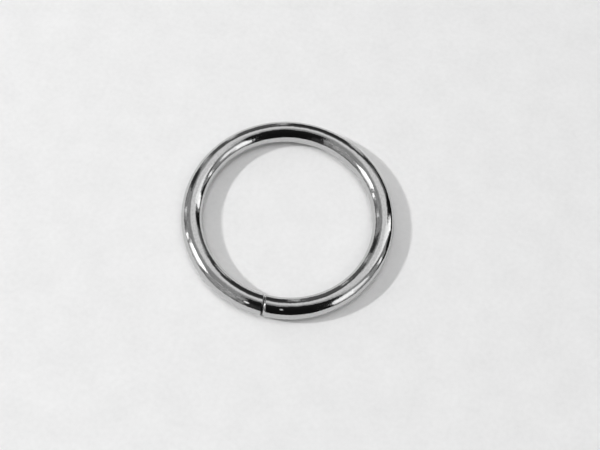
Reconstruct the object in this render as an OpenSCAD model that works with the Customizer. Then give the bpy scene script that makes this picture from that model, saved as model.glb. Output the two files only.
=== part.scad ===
// Open wire ring: one length of round wire bent into a circle, its two cut ends meeting in a butt joint.
// It lies flat. The origin is the ring's centre on the surface that it lies on, +Z is up,
// and the joint faces -Y.

/* [Ring] */
// Clear diameter inside the ring
inner_d = 32; // [16:0.5:80]
// Diameter of the round wire
wire_d = 4; // [2:0.1:8]

/* [Butt joint] */
// Gap between the two cut ends at the inside of the ring
joint_inside = 0.01; // [0.01:0.01:0.5]
// Gap between them at the outside of the ring, where the joint stands open
joint_outside = 0.16; // [0.05:0.01:1]
// Angle of the cut away from square, turned about the vertical
cut_angle = 6; // [0:1:12]
// Radius on the rim of the +X end, which the cut rolled over
rolled_rim = 0.6; // [0.2:0.05:0.8]
// Radius on the rim of the -X end, which the cut left sharp
sharp_rim = 0.03; // [0.03:0.01:0.5]
// Angle of the slight edge where the round of a rim gives way to the slope behind it
rim_edge = 8; // [4:1:12]
// Angle at which that slope runs out into the wire, on the side that bends away most
run_out = 7; // [4:1:12]

/* [Hidden] */
$fn = 96;

inner_r = inner_d / 2;
wire_r = wire_d / 2;
// Radius of the circle that the middle of the wire follows
mean_r = inner_r + wire_r;

// Gap in the middle of the wire, and the turn of each cut face that opens the joint outwards
joint_gap = (joint_inside + joint_outside) / 2;
end_turn = atan((joint_outside - joint_inside) / (2 * wire_d));

// The slopes end within this distance of the middle of the joint, along the axis that is square to the cut
joint_reach = joint_gap / 2 + rolled_rim + wire_r / 2;
// How far the wire's inner side, which bends the most, has turned by there
reach_bend = asin(joint_reach / inner_r);
// An end form opens faster than the wire bends away from its axis, so it trims nothing but the rim
form_slope = cut_angle + abs(end_turn) + reach_bend + run_out;
form_len = 2 * wire_d;

// The closed circle of wire, before it is cut
module wire_circle() {
    rotate_extrude()
        translate([mean_r, wire_r])
            circle(r = wire_r);
}

// Half the section of an end form: a flat on the X axis, a round rim, and a slope that runs out into the wire
module end_form_section(rim) {
    flat_r = wire_r - rim;
    rim_turn = 90 - form_slope - rim_edge;
    along_slope = [sin(form_slope), cos(form_slope)];
    slope_start = [flat_r + rim * sin(rim_turn), rim * (1 - cos(rim_turn))];
    slope_foot = slope_start - slope_start.y / along_slope.y * along_slope;
    slope_end = slope_start + form_len * along_slope;
    difference() {
        polygon([[0, 0], slope_foot, slope_end, [0, slope_end.y]]);
        translate([flat_r, 0])
            difference() {
                square([rim, rim * (1 - along_slope.x)]);
                translate([0, rim])
                    circle(r = rim);
            }
    }
}

// The form of one finished end, along +X, with its flat turned to open the joint towards the outside
module end_form(rim) {
    translate([joint_gap / 2, 0, 0])
        rotate([0, 0, end_turn])
            rotate([0, 90, 0])
                rotate_extrude()
                    end_form_section(rim);
}

// What the cut and the rims take away: a slab across the wire, less the two end forms
module joint_waste() {
    slab_across = 2 * wire_d;
    translate([0, -mean_r, wire_r])
        rotate([0, 0, cut_angle])
            difference() {
                cube([2 * joint_reach, slab_across, slab_across], center = true);
                end_form(rolled_rim);
                mirror([1, 0, 0])
                    end_form(sharp_rim);
            }
}

module ring() {
    color("silver")
        difference() {
            wire_circle();
            joint_waste();
        }
}

ring();
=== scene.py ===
"""A bright-plated wire ring with a butt joint, lying on a pale table among studio cards."""
import math

import bmesh
import bpy
from bpy.props import FloatProperty, FloatVectorProperty, IntProperty, PointerProperty
from mathutils import Matrix, Vector, noise


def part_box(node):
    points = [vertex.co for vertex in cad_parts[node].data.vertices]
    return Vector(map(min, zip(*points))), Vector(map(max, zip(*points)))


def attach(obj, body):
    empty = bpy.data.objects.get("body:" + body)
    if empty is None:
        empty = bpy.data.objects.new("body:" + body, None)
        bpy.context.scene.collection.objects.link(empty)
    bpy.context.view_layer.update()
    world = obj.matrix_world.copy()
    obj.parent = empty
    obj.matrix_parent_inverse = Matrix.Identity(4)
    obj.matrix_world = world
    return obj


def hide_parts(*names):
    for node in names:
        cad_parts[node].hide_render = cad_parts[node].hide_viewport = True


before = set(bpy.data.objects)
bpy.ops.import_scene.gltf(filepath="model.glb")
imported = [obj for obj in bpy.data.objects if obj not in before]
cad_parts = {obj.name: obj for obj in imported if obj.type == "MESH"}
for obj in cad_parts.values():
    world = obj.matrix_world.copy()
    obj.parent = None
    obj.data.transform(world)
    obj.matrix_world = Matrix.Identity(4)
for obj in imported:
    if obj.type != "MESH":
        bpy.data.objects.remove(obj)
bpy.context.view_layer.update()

bl_info = {
    "name": "Open wire ring",
    "version": (1, 0, 0),
    "blender": (4, 5, 0),
    "location": "3D View > Sidebar > Wire ring",
    "description": "Bends and plates a butt-jointed wire ring and sets it in a small studio",
    "category": "Add Mesh",
}

MM = 0.001
RING_LOW, RING_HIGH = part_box("ring")
WIRE_D = RING_HIGH.z - RING_LOW.z
OUTER_D = RING_HIGH.x - RING_LOW.x

# The two ends of the wire, by the side of the joint that they lie on
ROLLED_END = 1
SHARP_END = -1

# Point attributes of the wire's mesh: its place on the straight wire, and how far it is cut or rubbed.
# The cut mask also carries the painted shade of the open joint, and the rubbed mask a painted glint
STRAIGHT = "straight_wire"
CUT_AND_GAP_SHADE = "cut"
RUBBED_AND_GLINT = "rubbed"

# Point attributes of a studio card: its brightness, and how solid it is
GLOW = "glow"
BODY = "body"

# Size of a patch of the wire's slow and fine unevenness, and how far each is stretched along the wire
SLOW_PATCH = 3.5 * MM
SLOW_STRETCH = 2.5
FINE_PATCH = 0.75 * MM
FINE_STRETCH = 2.0

# Faces of a studio card: for each degree of its width, for each degree of its height, and the fewest each way
CARD_FACES_WIDE = 2
CARD_FACES_HIGH = 1
CARD_FACES_LEAST = 16

# Faces along each side of the table
TABLE_FACES = 8


class WireSizes(bpy.types.PropertyGroup):
    """Sizes of the bent wire, its joint and its mesh"""

    outer_d: FloatProperty(
        name="Outer diameter", description="Diameter over the outside of the ring",
        default=OUTER_D, unit="LENGTH", precision=5)
    wire_d: FloatProperty(
        name="Wire diameter", description="Diameter of the round wire",
        default=WIRE_D, unit="LENGTH", precision=5)
    joint_inside: FloatProperty(
        name="Joint inside", description="Gap between the two cut ends at the inside of the ring",
        default=0.01 * MM, unit="LENGTH", precision=6)
    joint_outside: FloatProperty(
        name="Joint outside", description="Gap between the two cut ends at the outside of the ring",
        default=0.16 * MM, unit="LENGTH", precision=6)
    cut_angle: FloatProperty(
        name="Cut angle", description="Turn of the cut away from square, about the vertical",
        default=math.radians(6.0), subtype="ANGLE")
    rolled_rim: FloatProperty(
        name="Rolled rim", description="Radius on the rim of the +X end, which the cut rolled over",
        default=0.6 * MM, unit="LENGTH", precision=6)
    sharp_rim: FloatProperty(
        name="Sharp rim", description="Radius on the rim of the -X end, which the cut left sharp",
        default=0.03 * MM, unit="LENGTH", precision=6)
    rim_edge: FloatProperty(
        name="Rim edge", description="Slight edge where the round of a rim gives way to the slope behind it",
        default=math.radians(8.0), subtype="ANGLE")
    run_out: FloatProperty(
        name="Run-out",
        description="Angle at which that slope runs out into the wire, on the side that bends away most",
        default=math.radians(7.0), subtype="ANGLE")
    waviness: FloatProperty(
        name="Waviness", description="Height of the slow unevenness that bending left in the wire",
        default=0.020 * MM, unit="LENGTH", precision=7)
    ripple: FloatProperty(
        name="Ripple", description="Height of the fine unevenness under the plating",
        default=0.009 * MM, unit="LENGTH", precision=7)
    calm_start: FloatProperty(
        name="Calm start", description="Length of wire beside the joint that has no unevenness",
        default=1.0 * MM, unit="LENGTH", precision=5)
    calm_run: FloatProperty(
        name="Calm run", description="Length past that, over which the unevenness rises to its full height",
        default=2.0 * MM, unit="LENGTH", precision=5)
    sides: IntProperty(
        name="Sides", description="Faces round the wire", default=128, min=24)
    face_length: FloatProperty(
        name="Face length", description="Length of a face along the plain wire",
        default=0.22 * MM, unit="LENGTH", precision=6)
    end_face_length: FloatProperty(
        name="End face length", description="Length of a face along the wire beside the joint",
        default=0.07 * MM, unit="LENGTH", precision=6)
    end_run: FloatProperty(
        name="End run", description="Length of wire beside the joint that has the short faces",
        default=5.0 * MM, unit="LENGTH", precision=5)


class PlatingFinish(bpy.types.PropertyGroup):
    """Colours and polish of the plating; the cut ends carry a painted shade, the rubbed marks a painted glint
    """

    colour: FloatVectorProperty(
        name="Plate", description="Colour of the bright plating",
        default=(0.60, 0.60, 0.60), subtype="COLOR", size=3, min=0.0, max=1.0)
    fleck_colour: FloatVectorProperty(
        name="Fleck", description="Colour of the fine dull flecks in the plating",
        default=(0.53, 0.53, 0.53), subtype="COLOR", size=3, min=0.0, max=1.0)
    haze_colour: FloatVectorProperty(
        name="Haze", description="Colour of the plating under a handling haze",
        default=(0.55, 0.55, 0.55), subtype="COLOR", size=3, min=0.0, max=1.0)
    # Painted glint: this near-white colour makes the rubbed marks show bright; their dents are real
    rubbed_glint_colour: FloatVectorProperty(
        name="Rubbed", description="Colour of the small marks that are rubbed through to bare metal",
        default=(0.95, 0.95, 0.95), subtype="COLOR", size=3, min=0.0, max=1.0)
    # Painted shade: this near-black colour on the cut ends stands in for the shade inside the open joint
    gap_shade_colour: FloatVectorProperty(
        name="Cut", description="Colour of the sheared end faces, which are dull and soiled",
        default=(0.04, 0.04, 0.04), subtype="COLOR", size=3, min=0.0, max=1.0)
    polish: FloatProperty(
        name="Polish", description="Roughness of the clean plating",
        default=0.05, subtype="FACTOR", min=0.0, max=1.0)
    haze: FloatProperty(
        name="Haze roughness", description="Roughness where the plating is handled",
        default=0.11, subtype="FACTOR", min=0.0, max=1.0)
    scratch: FloatProperty(
        name="Scratch roughness", description="Roughness that the fine lines along the wire add",
        default=0.06, subtype="FACTOR", min=0.0, max=1.0)
    rubbed_roughness: FloatProperty(
        name="Rubbed roughness", description="Roughness of the rubbed marks",
        default=0.5, subtype="FACTOR", min=0.0, max=1.0)
    rubbed_metal: FloatProperty(
        name="Rubbed metal", description="How far the rubbed marks still shine as metal",
        default=0.25, subtype="FACTOR", min=0.0, max=1.0)
    cut_roughness: FloatProperty(
        name="Cut roughness", description="Roughness of the sheared end faces",
        default=0.35, subtype="FACTOR", min=0.0, max=1.0)
    peel_depth: FloatProperty(
        name="Peel", description="Depth of the fine unevenness of the plating itself",
        default=0.010 * MM, unit="LENGTH", precision=7)
    draw_depth: FloatProperty(
        name="Draw lines", description="Depth of the fine lines that drawing left along the wire",
        default=0.0001 * MM, unit="LENGTH", precision=8)
    tear_depth: FloatProperty(
        name="Tear depth", description="Depth of the lines that shearing left across the cut ends",
        default=0.02 * MM, unit="LENGTH", precision=7)


class StudioSetup(bpy.types.PropertyGroup):
    """The table, the room's light, the cards and the camera"""

    table_colour: FloatVectorProperty(
        name="Table", description="Colour of the pale table",
        default=(0.86, 0.86, 0.86), subtype="COLOR", size=3, min=0.0, max=1.0)
    table_mottle: FloatProperty(
        name="Mottle", description="Share by which the table's colour varies",
        default=0.036, subtype="FACTOR", min=0.0, max=1.0)
    table_roughness: FloatProperty(
        name="Table roughness", description="Roughness of the matte table",
        default=0.9, subtype="FACTOR", min=0.0, max=1.0)
    table_size: FloatProperty(
        name="Table size", description="Side of the square table", default=6.0, unit="LENGTH")
    room_light: FloatProperty(
        name="Room light", description="Strength of the even light from all round", default=0.17, min=0.0)
    card_distance: FloatProperty(
        name="Card distance", description="Distance of the nearest studio card", default=0.9, unit="LENGTH")
    card_spacing: FloatProperty(
        name="Card spacing", description="Distance from one layer of cards to the next",
        default=0.05, unit="LENGTH")
    card_lift: FloatProperty(
        name="Card lift", description="Height of a card over the table where it is laid on it",
        default=0.2 * MM, unit="LENGTH", precision=5)
    camera_azimuth: FloatProperty(
        name="Camera azimuth", description="Direction of the camera, from -Y towards +X",
        default=math.radians(7.36), subtype="ANGLE")
    camera_elevation: FloatProperty(
        name="Camera elevation", description="Height of the camera above the table",
        default=math.radians(66.75), subtype="ANGLE")
    camera_roll: FloatProperty(
        name="Camera roll", description="Turn of the camera about its own axis",
        default=math.radians(8.35), subtype="ANGLE")
    camera_distance: FloatProperty(
        name="Camera distance", description="Distance of the camera from the ring's centre",
        default=187.9 * MM, unit="LENGTH")
    camera_near: FloatProperty(
        name="Near clip", description="Distance from which the camera sees",
        default=10.0 * MM, unit="LENGTH")
    lens: FloatProperty(
        name="Lens", description="Focal length of the camera, in millimetres", default=60.0, min=1.0)
    sensor: FloatProperty(
        name="Sensor", description="Width of the camera's sensor, in millimetres", default=36.0, min=1.0)
    ring_place: FloatVectorProperty(
        name="Ring place",
        description="Place of the ring's centre in the frame, from its middle, in frame widths",
        default=(-0.0197, 0.0133), size=2)


def link(obj):
    """Puts a new object into the scene."""
    bpy.context.scene.collection.objects.link(obj)
    return obj


def direction(azimuth, elevation):
    """Unit vector towards an azimuth, from -Y towards +X, and an elevation."""
    flat = math.cos(elevation)
    return Vector((math.sin(azimuth) * flat, -math.cos(azimuth) * flat, math.sin(elevation)))


def smooth_step(x):
    """Smooth rise from 0 to 1 while x goes from 0 to 1."""
    x = min(max(x, 0.0), 1.0)
    return x * x * (3.0 - 2.0 * x)


class EndForm:
    """Outline of one cut end: a flat, a round rim and a slope that runs out into the wire.

    It is turned about the axis square to the cut. Distances behind are measured from the flat.
    """

    def __init__(self, wire_r, rim, rim_edge, slope):
        self.rim = rim
        self.slope = slope
        self.flat_r = wire_r - rim
        rim_turn = math.pi / 2 - slope - rim_edge
        self.slope_r = self.flat_r + rim * math.sin(rim_turn)
        self.slope_behind = rim * (1.0 - math.cos(rim_turn))
        self.arc_length = rim * rim_turn

    def radius(self, behind):
        """Radius of the outline at a distance behind the flat."""
        if behind < self.slope_behind:
            return self.flat_r + math.sqrt(self.rim ** 2 - (self.rim - behind) ** 2)
        return self.slope_r + (behind - self.slope_behind) * math.tan(self.slope)

    def length_to(self, behind):
        """Length of the outline from the flat's edge to a distance behind the flat."""
        if behind < self.slope_behind:
            return self.rim * math.acos(1.0 - behind / self.rim)
        return self.arc_length + (behind - self.slope_behind) / math.cos(self.slope)

    def point_at(self, length):
        """Distance behind the flat and radius, at a length along the outline from the flat's edge."""
        if length < self.arc_length:
            angle = length / self.rim
            return self.rim * (1.0 - math.cos(angle)), self.flat_r + self.rim * math.sin(angle)
        past = length - self.arc_length
        return (
            self.slope_behind + past * math.cos(self.slope),
            self.slope_r + past * math.sin(self.slope),
        )


class BentWire:
    """Shape of the ring: a round wire on a circle, with its two ends trimmed to their end forms.

    A place on the wire is a turn round the ring from the joint, and a section angle round the wire from
    its outer side over its top.
    """

    # Turns past the joint between which a rim is looked for, and how often that range is halved
    rim_search = (-0.2, 0.4)
    rim_halvings = 50

    def __init__(self, sizes):
        self.wire_r = sizes.wire_d / 2
        self.mean_r = sizes.outer_d / 2 - self.wire_r
        self.length = 2 * math.pi * self.mean_r
        joint_gap = (sizes.joint_inside + sizes.joint_outside) / 2
        half_gap = joint_gap / 2
        end_turn = math.atan((sizes.joint_outside - sizes.joint_inside) / (2 * sizes.wire_d))
        self.joint_reach = half_gap + sizes.rolled_rim + self.wire_r / 2
        reach_bend = math.asin(self.joint_reach / (self.mean_r - self.wire_r))
        slope = sizes.cut_angle + abs(end_turn) + reach_bend + sizes.run_out
        self.forms = {
            ROLLED_END: EndForm(self.wire_r, sizes.rolled_rim, sizes.rim_edge, slope),
            SHARP_END: EndForm(self.wire_r, sizes.sharp_rim, sizes.rim_edge, slope),
        }
        at_joint = Matrix.Translation((0.0, -self.mean_r, self.wire_r))
        cut_turn = Matrix.Rotation(sizes.cut_angle, 4, "Z")
        self.ends = {}
        for end in (ROLLED_END, SHARP_END):
            past_gap = Matrix.Translation((end * half_gap, 0.0, 0.0))
            opened = Matrix.Rotation(end * end_turn, 4, "Z")
            self.ends[end] = at_joint @ cut_turn @ past_gap @ opened
        self.to_ends = {end: placing.inverted() for end, placing in self.ends.items()}

    def outward(self, turn, section):
        """Unit vector square to the wire's skin."""
        flat = math.cos(section)
        return Vector((math.sin(turn) * flat, -math.cos(turn) * flat, math.sin(section)))

    def skin(self, turn, section):
        """Point on the wire's skin."""
        axis = Vector((math.sin(turn) * self.mean_r, -math.cos(turn) * self.mean_r, self.wire_r))
        return axis + self.wire_r * self.outward(turn, section)

    def seen_from_end(self, point, end):
        """Distance of a point behind an end's flat and off the cut's axis, and its angle round that axis."""
        along, across, above = self.to_ends[end] @ point
        return end * along, math.hypot(across, above), math.atan2(above, across)

    def end_point(self, end, behind, off, angle):
        """Point at a distance behind an end's flat and off the cut's axis, and an angle round that axis."""
        return self.ends[end] @ Vector((end * behind, off * math.cos(angle), off * math.sin(angle)))

    def rim_turn(self, end, section):
        """Turn at which the line of the wire at this section angle meets an end's form."""
        trimmed, kept = self.rim_search
        for _ in range(self.rim_halvings):
            middle = (trimmed + kept) / 2
            behind, off, _angle = self.seen_from_end(self.skin(end * middle, section), end)
            past_rim = behind > self.joint_reach
            if past_rim or (behind > 0 and off < self.forms[end].radius(behind)):
                kept = middle
            else:
                trimmed = middle
        return end * kept


class Mark:
    """A small rubbed dent that the closing tool left beside the joint, which carries a painted glint."""

    # How steeply a mark sets in at its edge. Above 1, its middle is flat
    set_in = 1.6

    def __init__(self, from_joint, section, length, width, depth, rubbed):
        self.from_joint = from_joint
        self.section = section
        self.length = length
        self.width = width
        self.depth = depth
        self.rubbed = rubbed

    def cover(self, run, section, wire_r):
        """How far a place lies in the mark: 0 at its edge, 1 in its middle."""
        along = (run - self.from_joint) / (self.length / 2)
        across = (section - self.section) * wire_r / (self.width / 2)
        return smooth_step(self.set_in * (1.0 - math.hypot(along, across)))


CLOSING_MARKS = (
    Mark(from_joint=-2.65 * MM, section=math.radians(57.0), length=1.4 * MM, width=0.36 * MM,
         depth=0.010 * MM, rubbed=1.0),
    Mark(from_joint=3.45 * MM, section=math.radians(64.5), length=0.9 * MM, width=0.38 * MM,
         depth=0.010 * MM, rubbed=0.65),
)


def wire_noise(run, section, wire_r, patch, stretch):
    """Noise on the straight wire, in patches of a given size that are stretched along it."""
    return noise.noise(Vector((
        run / (patch * stretch),
        math.cos(section) * wire_r / patch,
        math.sin(section) * wire_r / patch,
    )))


def unevenness(run, section, wire_r, sizes):
    """Height of the wire's skin over its true round."""
    slow = sizes.waviness * wire_noise(run, section, wire_r, SLOW_PATCH, SLOW_STRETCH)
    fine = sizes.ripple * wire_noise(run, section, wire_r, FINE_PATCH, FINE_STRETCH)
    share = smooth_step((abs(run) - sizes.calm_start) / sizes.calm_run)
    dents = sum(mark.depth * mark.cover(run, section, wire_r) for mark in CLOSING_MARKS)
    return (slow + fine) * share - dents


def skin_shares(length, sizes):
    """Shares of the wire's length at which it has a loop of vertices, closer together beside the joint."""
    steps = math.ceil(sizes.end_run / sizes.end_face_length)
    start = [sizes.end_run * i / steps for i in range(steps)]
    plain = length - 2 * sizes.end_run
    plain_steps = math.ceil(plain / sizes.face_length)
    middle = [sizes.end_run + plain * i / plain_steps for i in range(plain_steps + 1)]
    end = [length - distance for distance in reversed(start)]
    return [distance / length for distance in start + middle + end]


class WireMesh:
    """The ring's mesh, made loop by loop from one cut end round to the other."""

    # Loops of vertices over the rim of an end, and from there to the middle of its flat
    rim_loops = 14
    flat_loops = 6
    # Painted shade: the cut ends are darkened from under the wire, over its outer side, up to this
    # section angle, where the joint stands open. Past it the painted shade fades out
    shaded_section = math.radians(60.0)
    shade_fade = math.radians(20.0)

    def __init__(self, sizes):
        self.sizes = sizes
        self.wire = BentWire(sizes)
        self.sections = [2 * math.pi * i / sizes.sides - math.pi / 2 for i in range(sizes.sides)]
        self.bm = bmesh.new()
        self.straight = self.bm.verts.layers.float_vector.new(STRAIGHT)
        self.cut = self.bm.verts.layers.float.new(CUT_AND_GAP_SHADE)
        self.rubbed = self.bm.verts.layers.float.new(RUBBED_AND_GLINT)

    def vertex(self, place, run, section, off, cut=0.0, rubbed=0.0):
        """New vertex, with its place on the straight wire and its state."""
        vert = self.bm.verts.new(place)
        vert[self.straight] = Vector((run, off * math.cos(section), off * math.sin(section)))
        vert[self.cut] = cut
        vert[self.rubbed] = rubbed
        return vert

    def skin_loops(self, rolled_turns, sharp_turns):
        """Loops of the wire's skin from the rolled end's rim to the sharp end's."""
        wire = self.wire
        loops = []
        for share in skin_shares(wire.length, self.sizes):
            loop = []
            for section, first, last in zip(self.sections, rolled_turns, sharp_turns):
                turn = first + (last + 2 * math.pi - first) * share
                run = turn * wire.mean_r
                from_joint = run if turn < math.pi else run - wire.length
                lift = unevenness(from_joint, section, wire.wire_r, self.sizes)
                place = wire.skin(turn, section) + wire.outward(turn, section) * lift
                # How far a place is rubbed, which also sets its painted glint
                rubbed = sum(
                    mark.rubbed * mark.cover(from_joint, section, wire.wire_r) for mark in CLOSING_MARKS)
                loop.append(self.vertex(place, run, section, wire.wire_r, rubbed=rubbed))
            loops.append(loop)
        return loops

    def gap_shade(self, section):
        """Painted shade on a cut end: full where the joint stands open, none where it is closed."""
        return 1.0 - smooth_step((section - self.shaded_section) / self.shade_fade)

    def end_loops(self, end, turns):
        """Loops of one cut end, from its rim to the middle of its flat."""
        wire = self.wire
        form = wire.forms[end]
        starts = []
        for section, turn in zip(self.sections, turns):
            behind, _off, angle = wire.seen_from_end(wire.skin(turn, section), end)
            starts.append((section, turn * wire.mean_r, form.length_to(behind), angle))
        loops = []
        for step in range(1, self.rim_loops + 1):
            share = step / self.rim_loops
            loop = []
            for section, run, length, angle in starts:
                behind, off = form.point_at(length * (1.0 - share))
                place = wire.end_point(end, behind, off, angle)
                # The sharp end's rim takes the painted shade as well
                cut = self.gap_shade(section) if end == SHARP_END else 0.0
                loop.append(self.vertex(place, run, section, off, cut))
            loops.append(loop)
        for step in range(1, self.flat_loops):
            off = form.flat_r * (1.0 - step / self.flat_loops)
            loops.append([
                self.vertex(wire.end_point(end, 0.0, off, angle), run, section, off, self.gap_shade(section))
                for section, run, _length, angle in starts])
        loops.append([self.vertex(wire.end_point(end, 0.0, 0.0, 0.0), starts[0][1], 0.0, 0.0, cut=1.0)])
        return loops

    def join(self, near, far):
        """Faces between two loops, or between a loop and the single vertex that closes an end."""
        sides = self.sizes.sides
        for i in range(sides):
            j = (i + 1) % sides
            corners = [near[j % len(near)], near[i % len(near)], far[i % len(far)], far[j % len(far)]]
            face = self.bm.faces.new(dict.fromkeys(corners))
            face.smooth = True

    def build(self):
        """The finished mesh."""
        rolled_turns = [self.wire.rim_turn(ROLLED_END, section) for section in self.sections]
        sharp_turns = [self.wire.rim_turn(SHARP_END, section) for section in self.sections]
        skin = self.skin_loops(rolled_turns, sharp_turns)
        rolled = self.end_loops(ROLLED_END, rolled_turns)
        sharp = self.end_loops(SHARP_END, sharp_turns)
        loops = rolled[::-1] + skin + sharp
        for near, far in zip(loops, loops[1:]):
            self.join(near, far)
        bmesh.ops.recalc_face_normals(self.bm, faces=self.bm.faces)
        mesh = bpy.data.meshes.new("ring_wire")
        self.bm.to_mesh(mesh)
        self.bm.free()
        return mesh


class Pattern:
    """A noise pattern of a material: its cells per millimetre along each axis, and its detail."""

    def __init__(self, cells, detail):
        self.scale = [count / MM for count in cells]
        self.detail = detail


# Patterns of the plating on the straight wire: along it, and on the two axes across it
HAZE = Pattern((0.18, 0.35, 0.35), 4.0)
DRAW_LINES = Pattern((0.15, 9.0, 9.0), 3.0)
FLECKS = Pattern((2.6, 3.4, 3.4), 3.0)
TEARS = Pattern((1.0, 1.2, 14.0), 5.0)
PEEL = Pattern((2.0, 3.2, 3.2), 3.0)

# Patterns of the table
MOTTLE = Pattern((0.15, 0.15, 0.15), 2.0)
PAPER_GRAIN = Pattern((1.1, 1.1, 1.1), 2.0)

# Ranges of a pattern's noise over which its effect comes in
WHOLE = (0.0, 1.0)
HAZE_COLOURS = (0.5, 0.75)
HAZE_DULLS = (0.48, 0.78)
FLECKS_COLOUR = (0.40, 0.70)
LINES_DULL = (0.56, 0.70)
MOTTLE_COLOURS = (0.6, 1.4)


class NodeBench:
    """Short ways to add and join the nodes of one material."""

    def __init__(self, name):
        self.material = bpy.data.materials.new(name)
        self.material.use_nodes = True
        self.tree = self.material.node_tree
        self.tree.nodes.clear()

    def add(self, kind, **settings):
        """New node with its settings."""
        node = self.tree.nodes.new(kind)
        for key, value in settings.items():
            setattr(node, key, value)
        return node

    def join(self, start, end):
        """Link from an output to an input."""
        self.tree.links.new(start, end)

    def attribute(self, name):
        """Node that reads a point attribute."""
        return self.add("ShaderNodeAttribute", attribute_name=name)

    def noise(self, place, pattern):
        """Noise of a pattern at a place."""
        mapping = self.add("ShaderNodeMapping")
        mapping.inputs["Scale"].default_value = pattern.scale
        self.join(place, mapping.inputs["Vector"])
        texture = self.add("ShaderNodeTexNoise")
        texture.inputs["Scale"].default_value = 1.0
        texture.inputs["Detail"].default_value = pattern.detail
        self.join(mapping.outputs["Vector"], texture.inputs["Vector"])
        return texture.outputs["Fac"]

    def spread(self, value, from_range, to_range):
        """A value carried from one range to another, and held at its ends."""
        node = self.add("ShaderNodeMapRange", clamp=True)
        self.join(value, node.inputs["Value"])
        node.inputs["From Min"].default_value, node.inputs["From Max"].default_value = from_range
        node.inputs["To Min"].default_value, node.inputs["To Max"].default_value = to_range
        return node.outputs["Result"]

    def math(self, operation, first, second):
        """Sum, product or the like of two values."""
        node = self.add("ShaderNodeMath", operation=operation)
        self.join(first, node.inputs[0])
        self.join(second, node.inputs[1])
        return node.outputs["Value"]

    def blend(self, share, first, second):
        """Colour between a first colour or output and a second colour."""
        node = self.add("ShaderNodeMix", data_type="RGBA")
        self.join(share, node.inputs["Factor"])
        colour_a, colour_b = [socket for socket in node.inputs if socket.type == "RGBA"]
        if isinstance(first, bpy.types.NodeSocket):
            self.join(first, colour_a)
        else:
            colour_a.default_value = (*first, 1.0)
        colour_b.default_value = (*second, 1.0)
        return next(socket for socket in node.outputs if socket.type == "RGBA")

    def bump(self, height, depth, normal=None):
        """Normal of a surface with a height pattern of a given depth, over another normal."""
        node = self.add("ShaderNodeBump")
        node.inputs["Strength"].default_value = 1.0
        node.inputs["Distance"].default_value = depth
        self.join(height, node.inputs["Height"])
        if normal:
            self.join(normal, node.inputs["Normal"])
        return node.outputs["Normal"]

    def finish(self, surface):
        """Joins the surface to the material's output and returns the material."""
        out = self.add("ShaderNodeOutputMaterial")
        self.join(surface, out.inputs["Surface"])
        return self.material


def bright_plate(finish):
    """Polished plating over drawn wire, with flecks, fine lines along the wire and a faint handling haze."""
    bench = NodeBench("bright_plate")
    place = bench.attribute(STRAIGHT).outputs["Vector"]
    cut = bench.attribute(CUT_AND_GAP_SHADE).outputs["Fac"]
    rubbed = bench.attribute(RUBBED_AND_GLINT).outputs["Fac"]
    haze = bench.noise(place, HAZE)
    lines = bench.noise(place, DRAW_LINES)
    flecks = bench.noise(place, FLECKS)
    tears = bench.noise(place, TEARS)
    peel = bench.noise(place, PEEL)

    shader = bench.add("ShaderNodeBsdfPrincipled")
    hazed = bench.blend(bench.spread(haze, HAZE_COLOURS, WHOLE), finish.colour, finish.haze_colour)
    flecked = bench.blend(bench.spread(flecks, FLECKS_COLOUR, WHOLE), hazed, finish.fleck_colour)
    # Painted shade: the cut ends are blended towards near black where the joint stands open
    gap_shaded = bench.blend(cut, flecked, finish.gap_shade_colour)
    # Painted glint: the rubbed marks are blended to near white and shine less as metal
    bench.join(bench.blend(rubbed, gap_shaded, finish.rubbed_glint_colour), shader.inputs["Base Color"])
    bench.join(bench.spread(rubbed, WHOLE, (1.0, finish.rubbed_metal)), shader.inputs["Metallic"])

    handled = bench.spread(haze, HAZE_DULLS, (finish.polish, finish.haze))
    drawn = bench.spread(lines, LINES_DULL, (0.0, finish.scratch))
    torn = bench.spread(cut, WHOLE, (0.0, finish.cut_roughness))
    worn = bench.spread(rubbed, WHOLE, (0.0, finish.rubbed_roughness))
    roughness = bench.math("ADD", bench.math("ADD", handled, drawn), bench.math("ADD", torn, worn))
    bench.join(roughness, shader.inputs["Roughness"])

    peel_normal = bench.bump(peel, finish.peel_depth)
    drawn_normal = bench.bump(lines, finish.draw_depth, peel_normal)
    tear_height = bench.math("MULTIPLY", tears, cut)
    bench.join(bench.bump(tear_height, finish.tear_depth, drawn_normal), shader.inputs["Normal"])
    return bench.finish(shader.outputs["BSDF"])


def table_paper(studio):
    """Matte pale paper with a faint mottle and a fine grain."""
    bench = NodeBench("table_paper")
    place = bench.add("ShaderNodeTexCoord").outputs["Object"]
    mottle = bench.noise(place, MOTTLE)
    grain = bench.noise(place, PAPER_GRAIN)
    shade = bench.spread(bench.math("ADD", mottle, grain), MOTTLE_COLOURS, WHOLE)
    dark = [value * (1.0 - studio.table_mottle) for value in studio.table_colour]
    light = [value * (1.0 + studio.table_mottle) for value in studio.table_colour]
    shader = bench.add("ShaderNodeBsdfPrincipled")
    shader.inputs["Roughness"].default_value = studio.table_roughness
    shader.inputs["Specular IOR Level"].default_value = 0.0
    bench.join(bench.blend(shade, dark, light), shader.inputs["Base Color"])
    return bench.finish(shader.outputs["BSDF"])


def card_glow():
    """Studio card that glows and fades out towards its edges."""
    bench = NodeBench("card_glow")
    light = bench.add("ShaderNodeEmission")
    bench.join(bench.attribute(GLOW).outputs["Fac"], light.inputs["Strength"])
    clear = bench.add("ShaderNodeBsdfTransparent")
    mix = bench.add("ShaderNodeMixShader")
    bench.join(bench.attribute(BODY).outputs["Fac"], mix.inputs["Fac"])
    bench.join(clear.outputs["BSDF"], mix.inputs[1])
    bench.join(light.outputs["Emission"], mix.inputs[2])
    return bench.finish(mix.outputs["Shader"])


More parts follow.
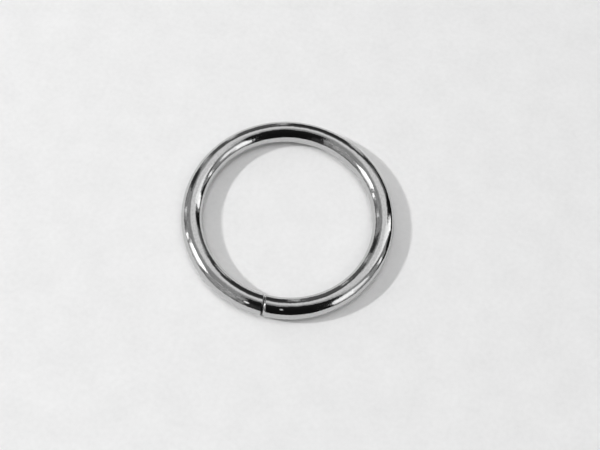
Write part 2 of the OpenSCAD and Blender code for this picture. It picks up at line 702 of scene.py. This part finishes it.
class Card:
    """A curved studio card round the ring, given in rows from low to high.

    A row is (elevation, from azimuth, to azimuth, glow). Azimuths run from the camera towards its right,
    and angles are in degrees. A card of a lower layer hangs in front of the others. The edge is the width
    over which a card fades out, and the mottle the share by which its glow varies from place to place.
    """

    # Width and height of a patch of the mottle, in degrees
    patch = (1.8, 9.0)

    def __init__(self, name, layer, edge, *rows, mottle=0.0):
        self.name = name
        self.layer = layer
        self.edge = edge
        self.rows = rows
        self.mottle = mottle
        self.lowest = rows[0][0]
        self.highest = rows[-1][0]

    def row_at(self, elevation):
        """From azimuth, to azimuth and glow at an elevation."""
        for low, high in zip(self.rows, self.rows[1:]):
            if elevation <= high[0]:
                break
        share = (elevation - low[0]) / (high[0] - low[0])
        return [a + (b - a) * share for a, b in zip(low[1:], high[1:])]

    def glow(self, azimuth, elevation):
        """How bright the card is."""
        _start, _end, glow = self.row_at(elevation)
        wide, high = self.patch
        return glow * (1.0 + self.mottle * noise.noise(Vector((azimuth / wide, elevation / high, 0.0))))

    def body(self, azimuth, elevation):
        """How solid the card is: it fades out over its edge, but not at the table or where it closes."""
        start, end, _glow = self.row_at(elevation)
        level = math.cos(math.radians(elevation))
        inside = [self.edge]
        if end - start < 360.0:
            inside += [(azimuth - start) * level, (end - azimuth) * level]
        if self.lowest > 0.0:
            inside.append(elevation - self.lowest)
        if self.highest < 90.0:
            inside.append(self.highest - elevation)
        return smooth_step(min(inside) / self.edge)


CARDS = (
    # All round and overhead
    Card("room_walls", 9, 12, (0, -180, 180, 0.33), (64, -180, 180, 0.36), mottle=0.5),
    Card("ceiling", 8, 10, (50, -180, 180, 0.36), (90, -180, 180, 0.36)),
    Card("ceiling_behind", 7, 16,
         (34, 97, 205, 0.95), (55, 90, 226, 0.92), (72, 72, 253, 0.89), (86, 40, 296, 0.6)),
    Card("horizon", 3, 3, (0, -180, 180, 0.12), (4.5, -180, 180, 0.12)),
    # In front, on the left
    Card("front_left_wall", 6, 3,
         (0, -67, -20, 0.22), (12, -67, -20, 0.34), (32, -67, -20, 0.48), (62, -64, -20, 0.42), mottle=1.2),
    Card("front_left_shade", 5, 6,
         (0, -37, -16, 0.20), (15, -36, -16, 0.26), (30, -35, -16, 0.33), (48, -37, -16, 0.36), mottle=1.2),
    Card("front_left_line", 4, 2, (0, -44.5, -40, 0.50), (26, -46, -41.5, 0.55)),
    # Behind the ring
    Card("back_shade", 6, 4,
         (0, 138, 226, 0.06), (20, 143, 226, 0.04), (30, 148, 224, 0.035), (40, 154, 216, 0.06),
         (47, 160, 203, 0.10), (54, 166, 190, 0.20)),
    Card("back_right_shade", 5, 4, (0, 130, 150, 0.13), (18, 131, 150, 0.12), (26, 132, 152, 0.16)),
    Card("back_left_haze", 5, 6, (0, 184, 226, 0.16), (30, 184, 224, 0.11), (44, 182, 212, 0.12)),
    Card("back_glow", 4, 4,
         (22, 131, 143, 0.12), (30, 131, 146, 0.35), (37, 132, 150, 0.75), (44, 135, 156, 0.92),
         (52, 140, 166, 0.92)),
    Card("back_line_right", 4, 2, (0, 153, 161.5, 0.80), (12, 153, 161.5, 0.65), (24, 154, 162, 0.25)),
    Card("back_line_middle", 4, 1.5, (0, -175.5, -170.5, 0.80), (36, -176, -171, 0.40)),
    Card("back_line_left", 4, 2, (0, -154.5, -149, 0.85), (27, -156, -150.5, 0.55)),
    Card("back_line_far_left", 4, 2, (0, -139, -133, 0.65), (20, -141, -135, 0.50), (36, -144, -137, 0.25)),
    # On the left
    Card("left_back_shade", 5, 3,
         (0, -132, -120, 0.14), (15, -134, -120, 0.03), (32, -137, -122, 0.04), (48, -141, -126, 0.12)),
    Card("left_glimmer", 5, 2,
         (4, -108, -103, 0.45), (20, -110, -104.5, 1.2), (30, -112, -107, 1.0), (38, -115, -110, 0.40)),
    Card("left_dark_line", 5, 2,
         (4, -101, -95.5, 0.17), (22, -102, -96.5, 0.20), (32, -104, -101, 0.33), (41, -114, -108, 0.20),
         (50, -120, -113, 0.22)),
    Card("left_light_line", 5, 2,
         (8, -106, -101, 0.40), (20, -107, -102, 0.52), (30, -108.5, -103, 0.50), (38, -106, -100.5, 0.50),
         (48, -109, -104, 0.46)),
    Card("left_window_low", 6, 5, (4, -88, -67, 0.60), (28, -90, -64, 1.20)),
    Card("left_window", 5, 1.8,
         (18, -86, -67.5, 1.5), (30, -88, -63, 2.1), (40, -93, -62.5, 2.3), (45, -94.5, -66, 2.3),
         (50, -93.5, -72, 2.2), (55, -92, -79.5, 1.6)),
    Card("left_slit", 4, 1.4,
         (0, -91, -86.5, 1.0), (8, -92, -87, 2.0), (20, -93.5, -88.5, 2.2), (31, -96.5, -91.5, 1.5)),
    Card("left_mullion", 4, 1.2,
         (0, -86, -83, 0.30), (10, -86.6, -84.2, 0.30), (22, -88.4, -86, 0.30), (32, -91.5, -89, 0.50)),
    # On the right
    Card("right_window", 4, 1.4,
         (11, 44.5, 64.5, 0.4), (20, 44.5, 64.5, 1.35), (36, 46, 67, 1.7), (48, 51, 74, 1.4),
         (56, 58, 79, 0.8)),
    Card("right_window_side", 5, 2.5,
         (18, 60, 80, 0.4), (30, 60, 83, 1.3), (44, 60, 84, 1.3), (54, 66, 84, 0.6)),
    Card("right_mullion", 3, 1.5, (8, 63, 66, 0.6), (34, 65, 68, 1.0)),
    Card("right_glimmer", 5, 2,
         (6, 88, 93, 0.2), (14, 88.5, 95, 1.4), (26, 90.5, 97.5, 1.6), (36, 92, 98, 0.5)),
    Card("right_wall_shade", 4, 3, (31, 96, 103, 0.06), (42, 92, 103, 0.06), (53, 86, 99, 0.15)),
    Card("right_low_shade", 4, 2,
         (0, 93, 114, 0.006), (10, 98, 113, 0.008), (18, 101, 111.5, 0.04), (25, 104, 111.5, 0.15)),
    Card("right_slit", 3, 1.4,
         (2, 111, 120.5, 1.5), (14, 111, 120.5, 1.9), (28, 110.5, 122.5, 1.6), (45, 108, 128, 1.35),
         (62, 100, 146, 1.2)),
    Card("right_slit_shade", 2, 1.5,
         (0, 120.5, 134, 0.01), (18, 121.2, 134, 0.01), (32, 122.8, 134, 0.02), (40, 125, 134, 0.05),
         (47, 128, 135.5, 0.14)),
    Card("right_foot_shade", 2, 2.5, (-10, 80, 152, 0.006), (4, 83, 148, 0.006), (9, 92, 134, 0.01)),
    # In front, round the camera
    Card("front_line", 0, 2, (0, 34, 38, 0.12), (15, 34, 38, 0.08)),
    Card("front_flag", 1, 2.5,
         (0, -24.5, 46, 0.009), (20, -25, 46, 0.009), (35, -26, 47, 0.009), (45, -27, 52, 0.009),
         (52, -29, 59, 0.010), (58, -31.5, 66.5, 0.011), (64, -35, 75, 0.012), (70, -42, 85, 0.013),
         (76, -54, 97, 0.015), (82, -78, 115, 0.018), (88, -134, 158, 0.03)),
    Card("front_flag_side", 0, 4,
         (0, -25, -7, 0.044), (30, -26, -8, 0.044), (50, -29, -10, 0.032), mottle=1.2),
)


class Lamp:
    """A round soft lamp that faces the ring.

    Its angles are in degrees, as for a card, its sizes in metres and its power in watts.
    """

    def __init__(self, name, azimuth, elevation, distance, diameter, power):
        self.name = name
        self.azimuth = azimuth
        self.elevation = elevation
        self.distance = distance
        self.diameter = diameter
        self.power = power


LAMPS = (
    Lamp("key", azimuth=-83.0, elevation=39.0, distance=1.0, diameter=0.075, power=4.8),
    Lamp("key_halo", azimuth=-125.0, elevation=38.0, distance=1.0, diameter=0.90, power=1.9),
    Lamp("fill_right", azimuth=60.0, elevation=67.0, distance=1.0, diameter=0.95, power=2.45),
    Lamp("fill_top", azimuth=-140.0, elevation=86.0, distance=1.0, diameter=0.60, power=2.15),
)


def studio_direction(studio, azimuth, elevation):
    """Unit vector towards an azimuth from the camera and an elevation, in degrees."""
    return direction(studio.camera_azimuth + math.radians(azimuth), math.radians(elevation))


def card_place(studio, azimuth, elevation, radius):
    """Place on a card: round the ring, or laid on the table where the elevation is below it."""
    if elevation < 0.0:
        wire_r = WIRE_D / 2
        radius = min(radius, OUTER_D / 2 + wire_r / math.tan(math.radians(-elevation)))
        flat = studio_direction(studio, azimuth, 0.0) * radius
        return flat + Vector((0.0, 0.0, studio.card_lift))
    return studio_direction(studio, azimuth, elevation) * radius


def card_mesh(card, studio):
    """Mesh of one card: a patch of a sphere round the ring, with its glow and its body at each vertex."""
    radius = studio.card_distance + studio.card_spacing * card.layer
    widest = max(row[2] - row[1] for row in card.rows)
    across = max(CARD_FACES_LEAST, math.ceil(CARD_FACES_WIDE * widest))
    up = max(CARD_FACES_LEAST, math.ceil(CARD_FACES_HIGH * (card.highest - card.lowest)))
    bm = bmesh.new()
    glow_layer = bm.verts.layers.float.new(GLOW)
    body_layer = bm.verts.layers.float.new(BODY)
    loops = []
    for j in range(up + 1):
        elevation = card.lowest + (card.highest - card.lowest) * j / up
        start, end, _glow = card.row_at(elevation)
        loop = []
        for i in range(across + 1):
            azimuth = start + (end - start) * i / across
            vert = bm.verts.new(card_place(studio, azimuth, elevation, radius))
            vert[glow_layer] = card.glow(azimuth, elevation)
            vert[body_layer] = card.body(azimuth, elevation)
            loop.append(vert)
        loops.append(loop)
    for low, high in zip(loops, loops[1:]):
        for i in range(across):
            bm.faces.new((low[i], high[i], high[i + 1], low[i + 1]))
    mesh = bpy.data.meshes.new("card_" + card.name)
    bm.to_mesh(mesh)
    bm.free()
    return mesh


def set_cards(studio):
    """The cards that the polished wire mirrors. They light nothing else and cast no shadow."""
    material = card_glow()
    for card in CARDS:
        obj = link(bpy.data.objects.new("card_" + card.name, card_mesh(card, studio)))
        obj.data.materials.append(material)
        obj.visible_camera = False
        obj.visible_diffuse = False
        obj.visible_shadow = False


def set_table(studio):
    """A flat table under the ring."""
    bm = bmesh.new()
    bmesh.ops.create_grid(bm, x_segments=TABLE_FACES, y_segments=TABLE_FACES, size=studio.table_size / 2)
    mesh = bpy.data.meshes.new("table")
    bm.to_mesh(mesh)
    bm.free()
    mesh.materials.append(table_paper(studio))
    link(bpy.data.objects.new("table", mesh))


def set_light(studio):
    """A little even light from the room, and the lamps, which the wire doesn't mirror."""
    world = bpy.data.worlds.new("room")
    world.use_nodes = True
    sky = world.node_tree.nodes["Background"]
    sky.inputs["Color"].default_value = (1.0, 1.0, 1.0, 1.0)
    sky.inputs["Strength"].default_value = studio.room_light
    bpy.context.scene.world = world
    for lamp in LAMPS:
        light = bpy.data.lights.new(lamp.name, "AREA")
        light.shape = "DISK"
        light.size = lamp.diameter
        light.energy = lamp.power
        obj = link(bpy.data.objects.new(lamp.name, light))
        toward = studio_direction(studio, lamp.azimuth, lamp.elevation)
        obj.location = toward * lamp.distance
        obj.rotation_euler = (-toward).to_track_quat("-Z", "Y").to_euler()
        obj.visible_glossy = False


def set_camera(studio, sizes):
    """The camera, turned so that the ring's centre falls at its own place in the frame."""
    centre = Vector((0.0, 0.0, sizes.wire_d / 2))
    back = direction(studio.camera_azimuth, studio.camera_elevation)
    level = Vector((math.cos(studio.camera_azimuth), math.sin(studio.camera_azimuth), 0.0))
    rise = back.cross(level)
    right = math.cos(studio.camera_roll) * level + math.sin(studio.camera_roll) * rise
    up = math.cos(studio.camera_roll) * rise - math.sin(studio.camera_roll) * level
    aside, above = [place * studio.sensor / studio.lens for place in studio.ring_place]
    ahead = (-back - aside * right - above * up).normalized()
    right = (right - right.dot(ahead) * ahead).normalized()
    up = right.cross(ahead)
    data = bpy.data.cameras.new("camera")
    data.sensor_width = studio.sensor
    data.lens = studio.lens
    data.clip_start = studio.camera_near
    camera = link(bpy.data.objects.new("camera", data))
    turned = Matrix((right, up, -ahead)).transposed().to_4x4()
    turned.translation = centre + back * studio.camera_distance
    camera.matrix_world = turned
    bpy.context.scene.camera = camera


class WIRERING_OT_bend(bpy.types.Operator):
    """Bend the wire into the ring and plate it"""

    bl_idname = "wirering.bend"
    bl_label = "Bend the wire ring"

    def execute(self, context):
        mesh = WireMesh(context.scene.wire_sizes).build()
        mesh.materials.append(bright_plate(context.scene.plating_finish))
        ring = link(bpy.data.objects.new("ring_wire", mesh))
        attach(ring, "root")
        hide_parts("ring")
        return {"FINISHED"}


class WIRERING_OT_stage(bpy.types.Operator):
    """Set the table, the studio cards, the light and the camera"""

    bl_idname = "wirering.stage"
    bl_label = "Set the studio"

    def execute(self, context):
        scene = context.scene
        set_table(scene.studio_setup)
        set_cards(scene.studio_setup)
        set_light(scene.studio_setup)
        set_camera(scene.studio_setup, scene.wire_sizes)
        scene.view_settings.view_transform = "Standard"
        return {"FINISHED"}


class WIRERING_PT_sidebar(bpy.types.Panel):
    """Sizes, finish and studio of the wire ring"""

    bl_idname = "WIRERING_PT_sidebar"
    bl_label = "Wire ring"
    bl_space_type = "VIEW_3D"
    bl_region_type = "UI"
    bl_category = "Wire ring"

    def draw(self, context):
        scene = context.scene
        self.draw_group("Wire", scene.wire_sizes)
        self.draw_group("Plating", scene.plating_finish)
        self.layout.operator(WIRERING_OT_bend.bl_idname)
        self.draw_group("Studio", scene.studio_setup)
        self.layout.operator(WIRERING_OT_stage.bl_idname)

    def draw_group(self, heading, group):
        """A box with a heading and the group's values."""
        box = self.layout.box()
        box.label(text=heading)
        for name in type(group).__annotations__:
            box.prop(group, name)


GROUPS = {
    "wire_sizes": WireSizes,
    "plating_finish": PlatingFinish,
    "studio_setup": StudioSetup,
}
CLASSES = (*GROUPS.values(), WIRERING_OT_bend, WIRERING_OT_stage, WIRERING_PT_sidebar)


def register():
    """Adds the classes to Blender, and the value groups to its scenes."""
    for cls in CLASSES:
        bpy.utils.register_class(cls)
    for name, group in GROUPS.items():
        setattr(bpy.types.Scene, name, PointerProperty(type=group))


def unregister():
    """Takes the value groups and the classes out again."""
    for name in GROUPS:
        delattr(bpy.types.Scene, name)
    for cls in reversed(CLASSES):
        bpy.utils.unregister_class(cls)


def main():
    """Makes the ring and the studio."""
    register()
    bpy.ops.wirering.bend()
    bpy.ops.wirering.stage()


if __name__ == "__main__":
    main()
